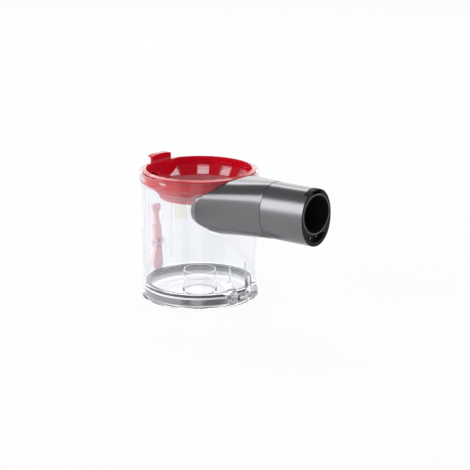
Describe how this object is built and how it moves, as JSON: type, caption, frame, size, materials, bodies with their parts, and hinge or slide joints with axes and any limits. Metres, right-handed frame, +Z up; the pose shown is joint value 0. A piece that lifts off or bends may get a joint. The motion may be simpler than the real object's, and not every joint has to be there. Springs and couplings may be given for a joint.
{
  "type": "cyclone dust bin",
  "caption": "Clear cylindrical dust bin with a red funnel collar, a grey flared side inlet and a sealed hinged base let go by a red lever.",
  "frame": {"origin": "on the bin's axis, at the underside of the base that it stands on", "axes": "+Z up along the bin's axis to the open mouth, +X out along the inlet"},
  "size_m": [0.2133, 0.117, 0.1346],
  "materials": {
    "clear_plastic": "clear moulded polycarbonate",
    "red_plastic": "glossy moulded red",
    "wiper_rubber": "matte moulded soft rubber",
    "grey_plastic": "satin metallic grey",
    "black_plastic": "fine moulded black",
    "contact_brass": "bright",
    "seal_rubber": "smooth dark rubber",
    "pin_steel": "ground steel",
    "spring_steel": "dark drawn wire"
  },
  "bodies": {
    "bin": {"bin_body": "clear_plastic", "rim_collar": "red_plastic", "shroud_wiper": "wiper_rubber", "inlet_duct": "grey_plastic", "inlet_connector": "black_plastic", "contact_block": "black_plastic", "contact_pins": "contact_brass", "collar_gasket": "seal_rubber", "inlet_seal": "seal_rubber", "hinge_pin": "pin_steel", "lever_pin": "pin_steel", "hinge_spring": "spring_steel", "lever_spring": "spring_steel"},
    "base": {"bin_base": "clear_plastic", "base_seal": "seal_rubber"},
    "lever": {"release_lever": "red_plastic"}
  },
  "joints": [
    {"name": "base_hinge", "type": "hinge", "parent": "bin", "child": "base", "pos_m": [0.061, 0, 0.0085], "axis": [0, -1, 0], "range_deg": [0, 95]},
    {"name": "lever_pivot", "type": "hinge", "parent": "bin", "child": "lever", "pos_m": [-0.0604, 0, 0.041], "axis": [0, 1, 0], "range_deg": [0, 5], "stiffness_Nm_per_rad": 0.15, "springref_deg": -14.32}
  ]
}
